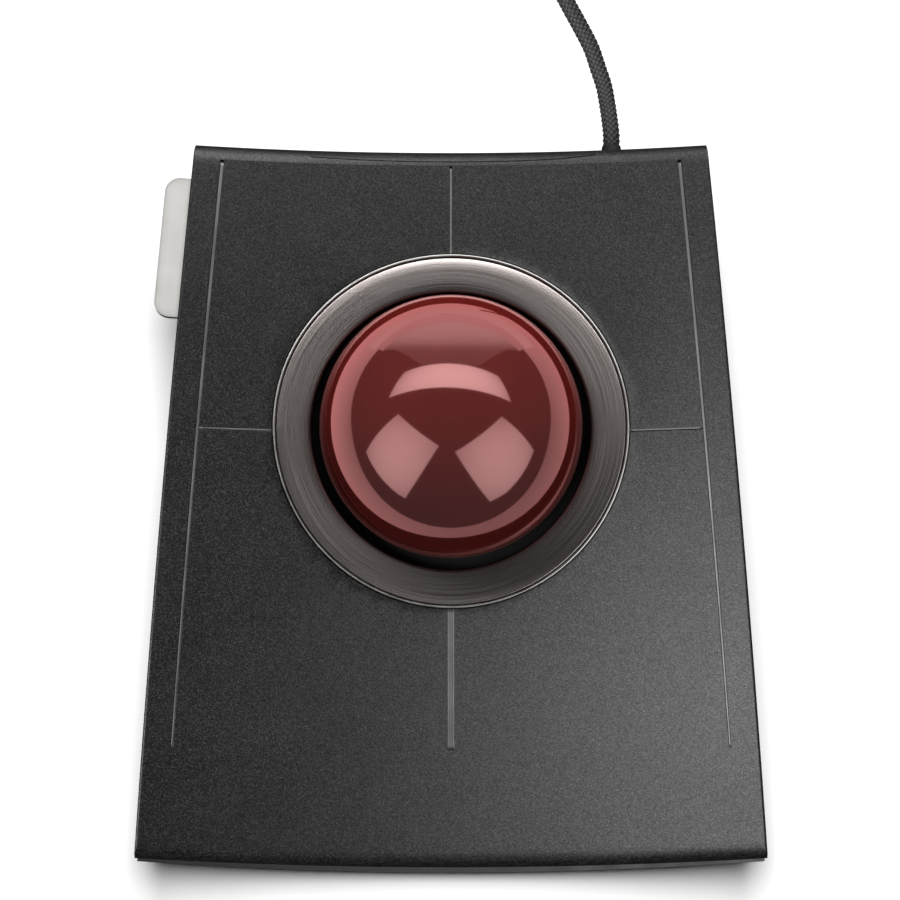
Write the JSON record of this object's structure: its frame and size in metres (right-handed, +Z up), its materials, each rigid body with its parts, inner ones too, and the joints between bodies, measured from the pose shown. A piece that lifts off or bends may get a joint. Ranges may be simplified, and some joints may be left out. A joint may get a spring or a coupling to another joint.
{
  "type": "trackball",
  "caption": "Corded desktop trackball: large ball in a metal ring on a saddle-shaped plate with hinged front and rear buttons, side tag, braided cord and USB plug.",
  "frame": {"origin": "centre of the case's footprint on the desk, without the cord", "axes": "+X the user's right, +Y towards the back edge where the cord leaves, +Z up"},
  "size_m": [0.1503, 0.2637, 0.06],
  "materials": {
    "graphite_paint": "fine metallic satin paint on moulded plastic",
    "black_plastic": "fine spark-eroded texture",
    "rubber_feet": "matt",
    "steel_screw": "zinc plated",
    "label_foil": "satin film, blank",
    "brushed_ring": "dark concentric brush",
    "bright_lip": "polished edge",
    "cup_plastic": "smooth black",
    "ceramic": "polished bearing ball",
    "window": "clear red sensor window",
    "chip_black": "moulded epoxy",
    "pcb": "solder mask",
    "component": "plated cans and housings",
    "connector": "ivory nylon",
    "wire_red": "insulated wire",
    "switch_plastic": "moulded case",
    "plunger_plastic": "acetal",
    "tag_metal": "fine bead-blasted",
    "grey_plastic": "moulded",
    "ball_resin": "polished deep red phenolic",
    "braid": "woven nylon sleeve",
    "tie": "silicone band",
    "plug_metal": "nickel plated",
    "plug_white": "moulded tongue",
    "gold": "gold flash"
  },
  "bodies": {
    "housing": {"top_cover": "graphite_paint", "rear_panel": "graphite_paint", "bottom_tub": "black_plastic", "feet": "rubber_feet", "case_screws": "steel_screw", "label_plate": "label_foil", "bezel_ring": "brushed_ring", "ring_trim": "bright_lip", "ball_cup": "cup_plastic", "cup_bearings": "ceramic", "cup_screws": "steel_screw", "sensor_windows": "window", "sensor_chips": "chip_black", "sensor_boards": "pcb", "main_board": "pcb", "controller_chip": "chip_black", "board_parts": "component", "board_screws": "steel_screw", "cable_connector": "connector", "inner_lead": "black_plastic", "wire_harness": "wire_red", "switch_boards": "pcb", "switch_bodies": "switch_plastic", "side_tag": "tag_metal", "tag_bracket": "grey_plastic", "cable_gland": "black_plastic", "cord": "braid", "cord_coil": "braid", "cord_tail": "braid", "cord_tie": "tie", "plug_grip": "black_plastic", "plug_shell": "plug_metal", "plug_insert": "plug_white", "plug_contacts": "gold"},
    "button_front_left": {"button_front_left": "graphite_paint"},
    "button_front_right": {"button_front_right": "graphite_paint"},
    "button_rear_left": {"button_rear_left": "graphite_paint"},
    "button_rear_right": {"button_rear_right": "graphite_paint"},
    "plunger_front_left": {"plunger_front_left": "plunger_plastic"},
    "plunger_front_right": {"plunger_front_right": "plunger_plastic"},
    "plunger_rear_left": {"plunger_rear_left": "plunger_plastic"},
    "plunger_rear_right": {"plunger_rear_right": "plunger_plastic"},
    "ball": {"ball": "ball_resin"}
  },
  "joints": [
    {"name": "button_front_left_press", "type": "hinge", "parent": "housing", "child": "button_front_left", "pos_m": [-0.026, -0.052, 0.016], "axis": [-1, 0, 0], "range_deg": [0, 0.6], "stiffness_Nm_per_rad": 3.5, "springref_deg": -0.17},
    {"name": "plunger_front_left_slide", "type": "slide", "parent": "housing", "child": "plunger_front_left", "axis": [0, 0, -1], "range_m": [0, 0.0006]},
    {"name": "button_front_right_press", "type": "hinge", "parent": "housing", "child": "button_front_right", "pos_m": [0.026, -0.052, 0.016], "axis": [-1, 0, 0], "range_deg": [0, 0.6], "stiffness_Nm_per_rad": 3.5, "springref_deg": -0.17},
    {"name": "plunger_front_right_slide", "type": "slide", "parent": "housing", "child": "plunger_front_right", "axis": [0, 0, -1], "range_m": [0, 0.0006]},
    {"name": "button_rear_left_press", "type": "hinge", "parent": "housing", "child": "button_rear_left", "pos_m": [-0.026, 0.0722, 0.028], "axis": [1, 0, 0], "range_deg": [0, 0.7], "stiffness_Nm_per_rad": 3, "springref_deg": -0.17},
    {"name": "plunger_rear_left_slide", "type": "slide", "parent": "housing", "child": "plunger_rear_left", "axis": [0, 0, -1], "range_m": [0, 0.0006]},
    {"name": "button_rear_right_press", "type": "hinge", "parent": "housing", "child": "button_rear_right", "pos_m": [0.026, 0.0722, 0.028], "axis": [1, 0, 0], "range_deg": [0, 0.7], "stiffness_Nm_per_rad": 3, "springref_deg": -0.17},
    {"name": "plunger_rear_right_slide", "type": "slide", "parent": "housing", "child": "plunger_rear_right", "axis": [0, 0, -1], "range_m": [0, 0.0006]},
    {"name": "ball_roll", "type": "hinge", "parent": "housing", "child": "ball", "pos_m": [0, 0.0142, 0.0325], "axis": [1, 0, 0], "continuous": true}
  ],
  "couplings": [
    {"joint": "plunger_front_left_slide", "follows": "button_front_left_press", "m_per_rad": 0.056},
    {"joint": "plunger_front_right_slide", "follows": "button_front_right_press", "m_per_rad": 0.056},
    {"joint": "plunger_rear_left_slide", "follows": "button_rear_left_press", "m_per_rad": 0.0482},
    {"joint": "plunger_rear_right_slide", "follows": "button_rear_right_press", "m_per_rad": 0.0482}
  ]
}
